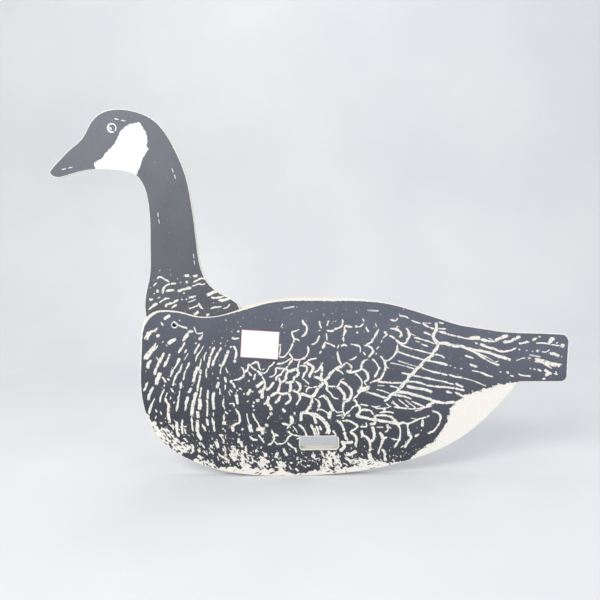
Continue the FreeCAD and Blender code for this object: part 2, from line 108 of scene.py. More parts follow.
NET = """
2.8 78,-30 82,-36 81,-44 79,-53; 2.2 76,-19 81,-20 87,-19; 3 85,-11 87,-9; 2 88,-59 91,-63 92,-68;
2.4 98,-55 97,-62 92,-68 92,-73; 4.6 89,-72 92,-73; 2.6 89,-74 82,-77 72,-79; 2 72,-79 77,-84 79,-89;
2.9 99,-55 104,-61 111,-66 116,-72 120,-80 120,-87; 2.2 100,-56 110,-53 113,-60 115,-64; 1.7 98,-66 102,-72;
2.7 107,-69 105,-78; 3.6 120,-86 118,-90 111,-96; 4 118,-80 108,-88; 4 117,-92 115,-104;
2.2 115,-67 120,-68 124,-64 126,-60 130,-57 134,-53; 1.6 116,-64 120,-62; 3 137,-56 142,-55 147,-54;
2 147,-54 153,-50 156,-48; 3.2 136,-61 142,-62 148,-62 151,-59 155,-54 158,-50;
2 135,-61 135,-68 132,-72 126,-74; 2.4 147,-63 142,-70 136,-74 135,-79;
3.4 149,-62 153,-66 158,-65 162,-63 166,-67 165,-71 160,-75 159,-80 152,-82 148,-82;
3.4 152,-66 149,-72 148,-78 143,-82; 2.6 139,-75 141,-83 139,-88; 3.6 140,-87 137,-96;
3.5 132,-81 129,-86 126,-90 121,-92; 3.8 155,-82 155,-90 153,-96; 3 162,-80 167,-85 168,-90 164,-96;
3.2 157,-93 164,-96 167,-100 167,-106 162,-114;
3.4 127,-101 132,-98 137,-96 144,-98 150,-97 154,-101 154,-107 147,-113; 3 141,-100 138,-106 133,-111;
3 123,-101 126,-105; 4.2 168,-98 176,-100 184,-102 188,-98 192,-91 197,-86 200,-82;
2.7 176,-96 178,-90 185,-89 191,-88; 1.9 171,-76 176,-80 180,-85; 2 180,-87 178,-92;
3 171,-76 174,-70 177,-66 177,-60 173,-58 176,-54 182,-50 191,-48; 1.6 173,-58 168,-59;
3.6 177,-55 182,-57 186,-61 184,-67 181,-72 182,-75; 3 187,-68 192,-66 196,-60 199,-54;
3.4 197,-58 198,-66 197,-74 199,-80; 3 187,-74 193,-76 198,-80; 2.8 200,-80 206,-76 209,-70 215,-66;
2.6 160,-50 168,-50 174,-48 178,-43 180,-37 179,-31; 2 168,-51 166,-57 165,-62; 2 154,-41 157,-46 159,-50;
2.4 139,-45 146,-46 152,-40 157,-32 160,-24 161,-22 158,-14 158,-10; 1.6 161,-22 165,-22 168,-24;
1.8 158,-12 163,-10 168,-8; 2 142,-30 142,-36 140,-44; 2.6 140,-30 143,-29;
2.4 172,5 174,0 178,-4 178,-9 176,-14 171,-18; 1.6 146,0 143,-5; 2.6 195,-17 192,-24 189,-28 184,-29;
2.4 195,3 196,-3 198,-7; 3 194,-10 196,-10; 1.8 208,4 206,-1 205,-4; 1.9 204,-14 205,-20 205,-24;
3 204,-26 202,-28 199,-35; 1.8 203,-27 210,-29 216,-33; 2.3 197,-38 195,-42; 3.6 98,-91 101,-94;
3.6 95,-99 99,-94; 2 102,-95 104,-94; 2.5 85,-91 87,-89; 2.4 81,-93 83,-92; 2 97,-80 99,-78; 3 90,-98 92,-97;
2.6 72,-91 75,-95; 2 95,-109 97,-107; 4 107,-107 112,-107; 3 103,-111 105,-109; 3.5 80,-98 81,-104 82,-112;
2.4 70,-111 76,-111 77,-116; 2.5 79,-118 82,-124 84,-130 83,-138 76,-141; 3.5 86,-149 89,-147;
2 79,-152 80,-154; 2.5 82,-157 84,-155; 3.5 82,-161 81,-168; 3.8 84,-165 87,-174;
1.8 94,-125 95,-133 97,-141; 5.4 97,-141 98,-146 100,-153; 2.2 102,-125 104,-131 109,-139 112,-147;
4.8 106,-148 119,-148; 3.4 114,-148 115,-156; 3 97,-158 102,-163 108,-163; 2.4 109,-156 113,-161 117,-168;
2.4 100,-170 101,-173; 4 119,-141 123,-144; 3 128,-149 130,-155 137,-158;
3 131,-156 131,-162 128,-168 122,-171; 2.6 131,-165 136,-171;
2.4 136,-170 143,-169 148,-165 151,-160 155,-157; 2.4 150,-151 154,-155 162,-158 168,-158;
2 162,-163 168,-160; 2.4 149,-168 155,-174 160,-177 161,-183; 3 151,-142 142,-140;
3 155,-141 152,-143 149,-148; 4.8 154,-129 156,-134 155,-141; 2.4 159,-124 160,-128;
2 157,-144 161,-149 163,-154; 3 165,-142 170,-146 174,-152 176,-159;
3.8 168,-137 169,-127 172,-125 180,-126 186,-126; 5.4 184,-126 193,-131 200,-137 205,-145 206,-152 202,-159;
3.4 182,-127 187,-132 189,-141; 3 182,-142 185,-149 188,-158; 3 189,-144 192,-151 193,-158;
2.4 194,-144 196,-151; 1.8 187,-147 191,-158; 3.6 183,-102 184,-108 182,-114 177,-122 174,-124;
3.2 188,-105 193,-109 193,-118 191,-123; 2 193,-104 199,-101;
3.8 199,-100 204,-105 208,-112 211,-119 214,-123; 2.8 193,-120 200,-122 206,-127 206,-134;
4.3 125,-104 123,-110 126,-115 128,-121; 3 118,-113 120,-110; 3.8 127,-124 128,-128; 1.6 125,-129 122,-134;
3.4 143,-119 147,-124; 3 102,-116 104,-114; 2.4 103,-121 105,-120; 4 209,-123 208,-130 207,-134;
2.8 205,-10 212,-11 217,-8 224,-5 226,0 226,5; 2.8 229,-4 234,-5 239,-6; 3 229,-5 229,-13 227,-19 228,-26;
2.3 224,-32 228,-30 232,-32; 1.6 221,-30 219,-35; 3 219,-39 220,-46 222,-53 226,-59;
2.7 230,-54 235,-57 238,-62 237,-67; 3 226,-60 221,-61 217,-63 211,-68 207,-74 202,-79; 2 226,-59 230,-56;
2.8 217,-64 223,-67 227,-71; 3.4 231,-67 238,-69; 2.8 237,-69 245,-67 251,-64 252,-57 256,-52;
2.8 252,-64 257,-67 260,-73 260,-79 256,-82 258,-87; 2.2 243,-70 248,-75 252,-81 252,-87 250,-92;
3.3 201,-80 205,-86 204,-93; 2.2 204,-93 210,-98 213,-104; 2.6 206,-88 214,-88 220,-89;
2.2 220,-88 223,-80 228,-77; 3.3 222,-81 229,-84 236,-91 238,-98 235,-106 230,-108;
3.4 219,-89 224,-94 228,-100 228,-108; 2 213,-104 220,-106; 3.6 243,-5 246,-5; 2.2 246,-5 250,-5 254,-1;
1.6 253,6 255,1; 3 245,-14 247,-13; 2.2 257,-6 261,-13; 1.8 270,-1 272,-6;
2.6 275,-9 271,-16 268,-22 264,-27 258,-30; 2.3 237,-29 245,-31 250,-34 250,-41;
3 255,-31 261,-32 267,-38 266,-42 261,-48; 2 254,-40 257,-45; 2 260,-50 256,-53; 2.6 235,-51 240,-50 245,-46;
2.3 266,-50 272,-56 275,-62; 3 275,-61 275,-65 272,-71 269,-76;
3 277,-46 282,-52 284,-60 282,-70 277,-78 270,-81 263,-84; 2.8 283,-52 288,-52 294,-47 299,-40 300,-31;
3 282,-12 286,-17; 1.8 287,-16 283,-19 280,-22; 1.8 279,-24 278,-28; 2.2 275,-33 272,-37; 2 272,-42 271,-44;
2.5 289,-18 296,-22 303,-29 310,-29 313,-25; 3.3 312,-26 316,-19 315,-13; 2.2 315,-15 314,-11 311,-8;
2.6 290,-8 299,-10 304,-14 305,-18 302,-20; 2.2 300,-5 298,-9; 2 290,4 297,2 300,6; 2.2 302,9 309,8 315,5;
1.8 318,3 324,0 331,-2; 5.4 246,-98 251,-94 258,-92 263,-88; 2.4 248,-98 246,-101 241,-106 243,-110;
2 259,-69 262,-69; 2.2 274,-82 282,-83 295,-84 309,-84; 1.6 273,-87 283,-88;
2.4 216,-122 219,-125 226,-124 228,-131 225,-134; 4.8 224,-130 226,-130; 1.8 217,-130 224,-129;
2.8 228,-110 226,-118 227,-124; 2.4 237,-122 231,-127 228,-131; 2.6 234,-131 236,-129;
3 226,-110 233,-109 237,-104; 2.4 243,-107 245,-114 240,-118 237,-122;
3.4 245,-114 249,-117 249,-125 244,-130; 2 250,-114 256,-115 261,-116; 2.4 265,-116 271,-118 277,-116;
3 249,-125 252,-122 258,-122 264,-123 268,-129;
3.7 244,-130 251,-132 257,-133 268,-136 280,-138 292,-140 301,-143;
2.8 270,-130 282,-130 291,-132 297,-137 301,-143; 2 271,-120 283,-120 290,-118; 2 276,-126 288,-125 296,-127;
3.4 281,-123 285,-123; 3.2 301,-143 305,-150 305,-160 302,-168 297,-177;
2.8 301,-143 310,-141 315,-143 318,-142; 3 315,-143 316,-150 317,-158 321,-162;
3.4 321,-162 315,-170 311,-177; 2.4 317,-142 324,-139 330,-136 338,-134 345,-131; 1.6 319,-134 327,-136;
3.4 336,-137 335,-147; 2.6 334,-151 334,-153; 2.4 331,-157 325,-161; 3 343,-157 349,-154;
2.6 348,-124 356,-127 360,-133 359,-141; 2.8 360,-140 353,-151 346,-156;
3.2 218,-136 224,-142 227,-149 229,-158 232,-166; 2.8 225,-137 234,-137 241,-141 246,-145 243,-149 236,-153;
3.4 236,-153 242,-158 245,-166 243,-174; 3.8 223,-168 232,-169 240,-168; 4 225,-169 228,-174 222,-181;
2.2 250,-146 258,-146 258,-140; 3.3 263,-143 270,-141 270,-130; 3.8 266,-146 269,-155 269,-162 265,-168;
3.4 252,-151 253,-158 258,-161 263,-168 264,-176 263,-182; 2 251,-162 254,-158; 5 262,-185 264,-192 268,-197;
4 277,-154 280,-160 281,-166 279,-173; 2.6 279,-173 276,-180 275,-186; 2.4 282,-163 287,-162;
3.4 280,-179 284,-185 284,-192 286,-198; 2.8 284,-154 288,-151 287,-144 292,-149; 1.8 282,-147 272,-147;
2.2 293,-164 300,-165 305,-164; 2 295,-188 297,-188; 2.6 295,-194 299,-198; 2 306,-177 310,-174;
4.8 230,-185 236,-186 241,-183 246,-181; 3.3 229,-190 235,-195 238,-200; 3 250,-195 256,-194;
3.6 205,-180 210,-186 217,-189 221,-191; 3.8 212,-183 215,-185; 3 196,-180 199,-189; 3 212,-151 217,-158;
2.8 258,-96 265,-98 273,-101 281,-104 287,-105; 1.6 272,-93 283,-96 290,-99; 5 74,-174 75,-180 74,-189;
3 92,-172 91,-181; 3.6 118,-183 120,-188; 3 106,-177 105,-182; 4.3 136,-182 132,-190; 3 127,-194 129,-192;
3 137,-197 139,-195; 3.4 144,-176 145,-181 149,-187; 5.6 185,-185 185,-190; 3 184,-196 184,-194;
5 178,-203 178,-201; 2 174,-205 174,-203; 5.6 161,-209 163,-207
"""
WING = """
4 351,-1 352,-6 351,-12 348,-18 350,-25 354,-31 353,-36 349,-41 346,-47 340,-51 335,-55 331,-61 325,-66
321,-72 316,-76 314,-81 310,-83 307,-88 303,-92 300,-97 293,-100 289,-105 283,-110;
2.4 333,-2 340,-6 349,-10; 1.2 333,-1 345,-2; 2 335,-14 342,-17 349,-19; 2.2 322,-21 330,-23 340,-26 350,-30;
2 332,-30 341,-34; 1.2 324,-26 330,-28; 2.2 304,-31 312,-34 325,-38 336,-41 347,-44;
2.4 300,-40 310,-44 322,-48 335,-52; 1.6 301,-53 313,-57 321,-60 330,-62;
1.6 291,-56 305,-59 318,-63 325,-66; 2.4 306,-70 320,-73; 2.2 290,-84 305,-84 310,-85; 2 290,-88 302,-91;
1.3 285,-61 289,-64; 1.2 318,-16 324,-19; 2 352,-9 365,-10; 2.6 355,-13 362,-15 370,-18;
2.8 370,-18 380,-20 392,-23 402,-24; 4.4 397,-23 404,-23 411,-23; 2.4 411,-25 420,-28;
4 350,-25 356,-29 365,-30 375,-33 386,-34 394,-37 404,-39 415,-41;
3.4 414,-41 425,-44 435,-48 445,-51 453,-54; 2.2 396,-39 405,-43 414,-49 424,-55 432,-59 438,-61;
1.4 405,-42 418,-48 430,-55; 2.5 350,-45 358,-46 364,-50; 2.7 340,-53 350,-55 358,-57 368,-60;
2 371,-61 373,-61; 2.2 377,-64 379,-63; 2.2 385,-65 388,-65; 2.3 333,-63 340,-66 348,-69 358,-71 368,-74;
2.5 370,-73 378,-76 388,-78; 1.4 388,-78 400,-81 412,-86 421,-90;
2.5 322,-74 332,-76 340,-78 350,-80 360,-82 370,-85 377,-87; 2.1 379,-86 385,-89 390,-91;
2.5 314,-82 325,-83 333,-85 342,-88 355,-90 368,-91 380,-93 392,-96; 3.7 313,-89 322,-91 334,-93 348,-97;
3.5 300,-97 312,-98 322,-101 334,-104 345,-108 352,-111 365,-113 379,-112;
2.4 293,-101 303,-102 312,-104 320,-107; 3.2 367,-97 375,-99; 2.7 379,-98 384,-101 391,-104;
2.4 391,-47 398,-49 403,-51; 2.7 398,-59 403,-61 408,-63; 2.2 404,-29 408,-31; 3.5 411,-31 420,-35 430,-38;
1.4 401,-68 412,-70; 2.4 412,-70 420,-74 430,-77; 1.6 294,-109 298,-114 303,-118;
1.8 302,-107 310,-114 316,-119; 1.8 311,-108 320,-115 326,-120; 2.3 320,-110 330,-115 338,-118;
1.5 292,-111 298,-115 302,-119; 2 285,-113 292,-118; 2.4 296,-118 310,-120 322,-121 334,-120 348,-117;
2 325,-124 335,-122; 2.5 340,-117 352,-112; 1.6 355,-1 362,-2
"""
TAIL = """
4 431,-27 438,-23 448,-20; 2.6 413,-24 423,-27 432,-28; 1.6 422,-23 428,-26;
3.4 442,-29 451,-28 458,-24 465,-22; 3 463,-31 470,-30 477,-29; 3 481,-27 487,-24; 2.6 489,-22 492,-22;
1.8 486,-31 497,-31 507,-33 518,-35; 4.6 503,-31 506,-27 510,-24; 3 513,-31 515,-31; 4.4 519,-34 524,-36;
3.1 430,-38 440,-42 450,-41 455,-39 460,-37; 2.6 463,-40 465,-39; 1.6 473,-41 475,-41; 1.8 481,-42 483,-42;
3.4 487,-42 490,-41; 2 494,-43 500,-43 505,-40; 3.6 505,-45 511,-46 518,-49; 1.6 521,-49 522,-51;
1.4 460,-55 467,-52 473,-51; 1.8 476,-51 480,-52; 5.4 484,-54 494,-56 505,-59 514,-61 524,-63;
2.8 497,-59 504,-63 509,-66; 1.8 480,-67 480,-65; 2 484,-66 487,-68; 2.8 490,-67 495,-70;
3.8 499,-68 504,-71 509,-74; 3.4 500,-76 506,-74; 3 497,-81 501,-80; 2 512,-73 517,-75; 1.4 514,-70 516,-74;
2.6 464,-73 468,-75 474,-76 481,-77; 2.8 439,-71 441,-70; 2.4 448,-70 451,-73; 2.2 453,-75 458,-77;
1.6 431,-57 437,-55
"""
NECK_PRINT = """
2 -21,62 -18,65 -11,62 -5,58; 2.4 -31,50 -30,51; 2.2 -27,53 -22,57; 3.6 -23,46 -20,45;
2.7 -15,42 -12,51 -6,55 4,56; 3 -10,46 1,47; 3.2 6,45 15,48 24,50; 1.9 25,52 29,53 34,55 38,54 43,55;
2 13,42 15,43; 2 9,57 11,57; 3.4 17,57 20,58; 1.8 27,57 38,62 44,61; 3.3 16,67 18,66 22,66;
3.2 27,66 30,65 33,67; 1.5 -3,67 -2,68; 3 -33,36 -31,34 -28,35; 2 -22,36 -18,38; 2 -20,30 -12,35 -5,36;
3 -35,21 -28,26 -22,29; 3 -12,24 -9,28 -2,29; 2.4 -2,29 6,34; 2.4 -4,23 4,27; 2.6 10,34 12,34; 2 16,34 18,34;
3 20,36 30,39; 1.2 19,30 30,34; 1.8 20,21 33,26; 2.6 33,29 36,23 39,21; 3.6 26,13 33,17; 3 43,11 47,14;
3.6 45,39 53,43 59,45; 3.1 50,36 60,36 70,39; 2.8 60,32 66,32 76,35; 2.8 49,21 55,23 64,24;
2 66,21 72,23 75,27; 1.4 52,29 54,29; 1.1 -18,73 -16,74; 1.4 -27,42 -25,43
"""
# Unprinted areas with ragged borders: white rump, lower breast edge and belly edge.
RUMP = [
    (470, -84), (460, -85), (455, -86), (449, -85), (446, -89), (440, -87), (437, -88), (433, -90),
    (429, -89), (430, -92), (424, -93), (418, -93), (415, -96), (408, -97), (401, -100), (396, -102),
    (391, -101), (390, -106), (384, -109), (379, -112), (376, -117), (372, -121), (373, -127), (369, -134),
    (370, -139), (366, -146), (361, -154), (356, -161), (351, -168), (344, -172), (338, -178), (331, -181),
    (327, -186), (320, -192), (316, -198), (380, -215), (480, -130),
]
BREAST_EDGE = [
    (-47, -120), (-41, -128), (-38, -136), (-34, -134), (-31, -141), (-27, -147), (-24, -143), (-21, -146),
    (-18, -142), (-15, -148), (-10, -150), (-8, -157), (-3, -161), (0, -166), (5, -165), (9, -169),
    (13, -171), (19, -174), (20, -180), (15, -183), (9, -181), (3, -182), (-2, -188), (-60, -190),
]
BREAST_EDGE_2 = [
    (20, -190), (26, -184), (33, -189), (39, -193), (44, -192), (48, -199), (52, -206), (30, -208),
    (14, -200),
]
BELLY_EDGE = [
    (51, -206), (55, -202), (60, -204), (64, -201), (70, -203), (77, -202), (82, -207), (86, -203),
    (90, -199), (96, -204), (101, -206), (106, -203), (110, -208), (115, -206), (121, -207), (127, -205),
    (131, -210), (137, -206), (142, -205), (146, -211), (153, -213), (160, -215), (168, -213), (176, -213),
    (181, -210), (187, -208), (193, -210), (197, -203), (203, -201), (207, -208), (213, -210), (218, -206),
    (224, -208), (229, -204), (236, -206), (242, -202), (247, -204), (252, -198), (259, -195), (266, -193),
    (273, -196), (280, -197), (290, -199), (297, -196), (305, -197), (313, -197), (320, -206), (250, -232),
    (100, -232),
]
# Patches filled with dry-brush marks along the belly, and the areas above it that have a few.
PATCHES = [
    [(80, -187), (86, -179), (95, -183), (101, -187), (107, -193), (103, -197), (96, -194), (97, -202),
     (90, -205), (82, -199), (85, -192)],
    [(111, -190), (118, -190), (122, -197), (120, -205), (112, -207), (106, -203), (109, -196)],
    [(198, -193), (204, -186), (209, -190), (210, -198), (206, -207), (197, -211), (192, -206), (198, -200)],
    [(214, -193), (220, -194), (224, -202), (221, -209), (214, -208)],
    [(134, -197), (141, -194), (146, -199), (144, -206), (136, -207)],
    [(236, -195), (246, -191), (254, -192), (256, -199), (244, -203)],
    [(72, -176), (77, -173), (79, -184), (76, -192), (70, -188)],
]
LOWER_BREAST = [
    (-34, -118), (-8, -150), (24, -176), (60, -198), (130, -206), (120, -184), (76, -168), (30, -158),
    (-6, -132),
]
LOWER_BELLY = [
    (96, -186), (110, -206), (310, -198), (322, -182), (240, -172), (160, -182),
]
# White print on the head: the cheek's outline and the eye's centre.
CHEEK = [
    (-39, 265), (-35, 266), (-32, 263), (-29, 258), (-27, 254), (-25, 248), (-25, 242), (-26, 237),
    (-24, 232), (-26, 229), (-29, 224), (-32, 220), (-34, 214), (-37, 208), (-39, 203), (-42, 198),
    (-66, 200), (-92, 203), (-94, 208), (-96, 214), (-91, 218), (-85, 221), (-81, 226), (-75, 232),
    (-69, 237), (-64, 245), (-60, 253), (-54, 259), (-48, 263),
]
EYE = (-70, 259)


# ---- outlines ----
def to_row(u, v, y):
    """A point in millimetres from the pivot, in the row frame in metres."""
    return ((PIVOT_X + u) / 1000, y / 1000, (PIVOT_Z + v) / 1000)


def face_loops(node, y_mm):
    """Outline loops of a board's flat face at y, from the fixed model, longest first, in (u, v)."""
    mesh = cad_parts[node].data
    keys = {}
    where = {}
    for vert in mesh.vertices:
        if abs(vert.co.y * 1000 - y_mm) < 0.01:
            key = (round(vert.co.x * 1e5), round(vert.co.z * 1e5))
            keys[vert.index] = key
            where.setdefault(key, (vert.co.x * 1000 - PIVOT_X, vert.co.z * 1000 - PIVOT_Z))
    seen = {}
    mesh.calc_loop_triangles()
    for tri in mesh.loop_triangles:
        ids = [keys.get(i) for i in tri.vertices]
        if None in ids:
            continue
        for a, b in zip(ids, ids[1:] + ids[:1]):
            edge = (min(a, b), max(a, b))
            seen[edge] = seen.get(edge, 0) + 1
    links = {}
    for (a, b), count in seen.items():
        if count == 1 and a != b:
            links.setdefault(a, []).append(b)
            links.setdefault(b, []).append(a)
    loops = []
    while links:
        start = min(links)
        loop = [start]
        here = start
        while True:
            onward = links.get(here)
            if not onward:
                break
            step = onward.pop()
            links[step].remove(here)
            if not onward:
                links.pop(here)
            if step == start:
                break
            loop.append(step)
            here = step
        links = {k: v for k, v in links.items() if v}
        loops.append([where[k] for k in loop])
    loops.sort(key=lambda p: -abs(area(p)))
    return [p if (area(p) > 0) == (i == 0) else p[::-1] for i, p in enumerate(loops)]


def area(points):
    """Signed area of a closed outline."""
    p = np.array(points)
    q = np.roll(p, -1, 0)
    return float((p[:, 0] * q[:, 1] - q[:, 0] * p[:, 1]).sum() / 2)


def spaced(points, gap):
    """A closed outline resampled at an even spacing."""
    p = np.array(points + points[:1], float)
    along = np.r_[0, np.cumsum(np.hypot(*np.diff(p, axis=0).T))]
    count = max(8, int(round(along[-1] / gap)))
    t = np.arange(count) * along[-1] / count
    return np.c_[np.interp(t, along, p[:, 0]), np.interp(t, along, p[:, 1])]


def inset(points, distance):
    """Move a closed outline toward its left side; distance is a number or one per point."""
    p = np.array(points, float)
    tangent = np.roll(p, -1, 0) - np.roll(p, 1, 0)
    tangent /= np.maximum(np.hypot(tangent[:, 0], tangent[:, 1]), 1e-9)[:, None]
    normal = np.c_[-tangent[:, 1], tangent[:, 0]]
    return p + normal * np.reshape(distance, (-1, 1))


def inside(polygon, pts):
    """Which points lie inside a polygon, by winding number."""
    p = np.array(polygon, float)
    q = np.roll(p, -1, 0)
    turns = np.zeros(len(pts), int)
    x, y = pts[:, 0], pts[:, 1]
    for (x0, y0), (x1, y1) in zip(p, q):
        side = (x1 - x0) * (y - y0) - (x - x0) * (y1 - y0)
        turns += ((y0 <= y) & (y1 > y) & (side > 0)).astype(int)
        turns -= ((y0 > y) & (y1 <= y) & (side < 0)).astype(int)
    return turns != 0


# ---- strokes ----
def strokes(text, rng):
    """Dry brush strokes as torn polygons, and the ink flecks left in the wide ones."""
    shapes, flecks = [], []
    for stroke in text.split(";"):
        width, *places = stroke.split()
        points = [tuple(float(n) for n in place.split(",")) for place in places]
        more, dark = dry_stroke(float(width), points, rng)
        shapes += more
        flecks += dark
    return shapes, flecks


def smooth_line(points, step):
    """Evenly stepped points on a smooth line through the given ones."""
    p = [Vector(a) for a in points]
    p = [p[0] * 2 - p[1]] + p + [p[-1] * 2 - p[-2]]
    line = []
    for a, b, c, d in zip(p, p[1:], p[2:], p[3:]):
        count = max(1, int(round((c - b).length / step)))
        for i in range(count):
            t = i / count
            line.append(
                0.5 * (2 * b + (c - a) * t + (2 * a - 5 * b + 4 * c - d) * t * t
                       + (3 * b - a - 3 * c + d) * t ** 3)
            )
    return line + [p[-2]]


def dry_stroke(width, points, rng):
    """One stroke: bristle tracks broken here and there, specks beside it and ink flecks in it."""
    line = smooth_line(points, 1.0)
    shapes, flecks = [], []
    tracks = 1 + (width >= TWO_TRACKS) + (width >= THREE_TRACKS)
    for k in range(tracks):
        reach = width * (1.0 if tracks == 1 else 1.25 / tracks)
        side = ((k + 0.5) / tracks - 0.5) * 0.92 * width
        start, last = 0, len(line) - 1
        if tracks > 2:
            start += int(rng.uniform(0, 0.10) * len(line))
            last -= int(rng.uniform(0, 0.14) * len(line))
        while start < last:
            stop = start + int(rng.uniform(*RUN))
            if last - stop < 4:
                stop = last
            part = line[start:stop + 1]
            if len(part) > 1:
                ends = (start < 3, stop > len(line) - 4)
                shapes.append(ribbon(part, reach * rng.uniform(0.9, 1.1), rng, side=side, ends=ends))
            start = stop + rng.choice((0, 1, 1))
    for here, ahead in zip(line, line[1:]):
        side = Vector((here.y - ahead.y, ahead.x - here.x)).normalized()
        if rng.random() < SPECK_CHANCE:
            out = here + side * rng.choice((-1, 1)) * (0.5 * width + rng.uniform(0.2, 1.1))
            shapes.append(blob(out.x, out.y, rng.uniform(0.18, 0.5), rng, 6))
        if width > 2.5 and rng.random() < FLECK_CHANCE:
            spot = here + side * rng.uniform(-0.5, 0.5) * width
            flecks.append(blob(spot.x, spot.y, rng.uniform(0.2, 0.24 + 0.09 * width), rng, 6))
    return shapes, flecks


def ribbon(line, width, rng, rough=0.32, swell=0.36, side=0.0, ends=(True, True)):
    """A closed ragged outline round a line: full in the middle, drawn out at its true ends."""
    steps = [(b - a).length for a, b in zip(line, line[1:])]
    total = sum(steps)
    left, right = [], []
    along = 0.0
    taper = [max(0.1, min(0.48 * total, width * (rng.uniform(0.5, 1.7) if end else 0.5))) for end in ends]
    slow, aim = rng.uniform(-1, 1), rng.uniform(-1, 1)
    for i, here in enumerate(line):
        if i:
            along += steps[i - 1]
        if i % 4 == 0:
            aim = rng.uniform(-1, 1)
        slow += 0.4 * (aim - slow)
        ahead = line[min(i + 1, len(line) - 1)] - line[max(i - 1, 0)]
        ahead = ahead.normalized() if ahead.length else Vector((1, 0))
        normal = Vector((-ahead.y, ahead.x))
        reach = min(1.0, along / taper[0] + 0.06, (total - along) / taper[1] + 0.06)
        half = 0.5 * width * max(0.24, math.sqrt(reach * (2 - reach))) * (0.98 + swell * slow)
        drift = side + 0.12 * width * slow
        left.append(here + normal * (drift + half * (1 + rng.uniform(-rough, rough))))
        right.append(here + normal * (drift - half * (1 + rng.uniform(-rough, rough))))
    shift = [(left[k] + right[k]) / 2 for k in (0, -1)]
    tip = shift[1] + (line[-1] - line[-2]).normalized() * 0.25 * width
    tail = shift[0] + (line[0] - line[1]).normalized() * 0.25 * width
    ring = left + [tip] + right[::-1] + [tail]
    return [(q.x, q.y) for q in ring]


def torn(points, rng, gap, amount):
    """A polygon with a torn, brushy border."""
    p = spaced(points, gap)
    slow, aim, shift = 0.0, 0.0, []
    for i in range(len(p)):
        if i % 3 == 0:
            aim = rng.uniform(-1, 1)
        slow += 0.6 * (aim - slow)
        shift.append(amount * (0.6 * slow + 0.5 * rng.uniform(-1, 1)))
    return [tuple(a) for a in inset(p, shift)]


def fray(outline, rng, count, spread, small, large):
    """Cream specks outside an outline and ink specks inside it, thickest along its border."""
    p = spaced(outline, 1.0)
    normal = inset(p, 1.0) - p
    light, dark = [], []
    for _ in range(count):
        k = rng.randrange(len(p))
        depth = rng.gauss(0.0, spread)
        u, v = p[k] + normal[k] * depth
        size = small + (large - small) * rng.random() ** 2
        (dark if depth > 0 else light).append(blob(u, v, size, rng))
        if size > 0.45 * large and k + 1 < len(p):
            lean = math.atan2(*(p[k + 1] - p[k])[::-1]) + rng.gauss(0.0, 0.5)
            (dark if depth > 0 else light).append(streak(u, v, lean, 4.5 * size, 0.9 * size, rng))
    return light, dark


def streak(u, v, lean, length, width, rng):
    """A short straight brush mark."""
    du, dv = 0.5 * length * math.cos(lean), 0.5 * length * math.sin(lean)
    return ribbon(smooth_line([(u - du, v - dv), (u, v), (u + du, v + dv)], 0.8), width, rng)


def bristles(rng, outline, count, lean, small, large):
    """Dry-brush marks all over an outline, leaning roughly one way."""
    low, high = np.min(outline, axis=0), np.max(outline, axis=0)
    spots = [(rng.uniform(low[0], high[0]), rng.uniform(low[1], high[1])) for _ in range(4 * count)]
    spots = [spot for spot, hit in zip(spots, inside(outline, np.array(spots))) if hit][:count]
    out = []
    for u, v in spots:
        width = small + (large - small) * rng.random() ** 1.5
        turn = math.radians(rng.gauss(lean, 24))
        out.append(streak(u, v, turn, width * rng.uniform(1.6, 4.2), width, rng))
    return out


def blob(u, v, size, rng, points=7):
    """A small irregular speck."""
    turn = rng.uniform(0, 6.28)
    long = rng.uniform(1.0, 1.9)
    lean = rng.uniform(0, 3.14)
    out = []
    for i in range(points):
        a = turn + i * 2 * math.pi / points
        r = size * rng.uniform(0.6, 1.15)
        x, y = r * math.cos(a) * long, r * math.sin(a)
        out.append((u + x * math.cos(lean) - y * math.sin(lean), v + x * math.sin(lean) + y * math.cos(lean)))
    return out


def scatter(rng, count, u0, u1, v0, v1, small, large, keep=None):
    """Specks of uneven size over a rectangle, thinned by keep(u, v)."""
    out = []
    for _ in range(count):
        u, v = rng.uniform(u0, u1), rng.uniform(v0, v1)
        size = small + (large - small) * rng.random() ** 2
        if keep is None or rng.random() < keep(u, v):
            out.append(blob(u, v, size, rng))
    return out


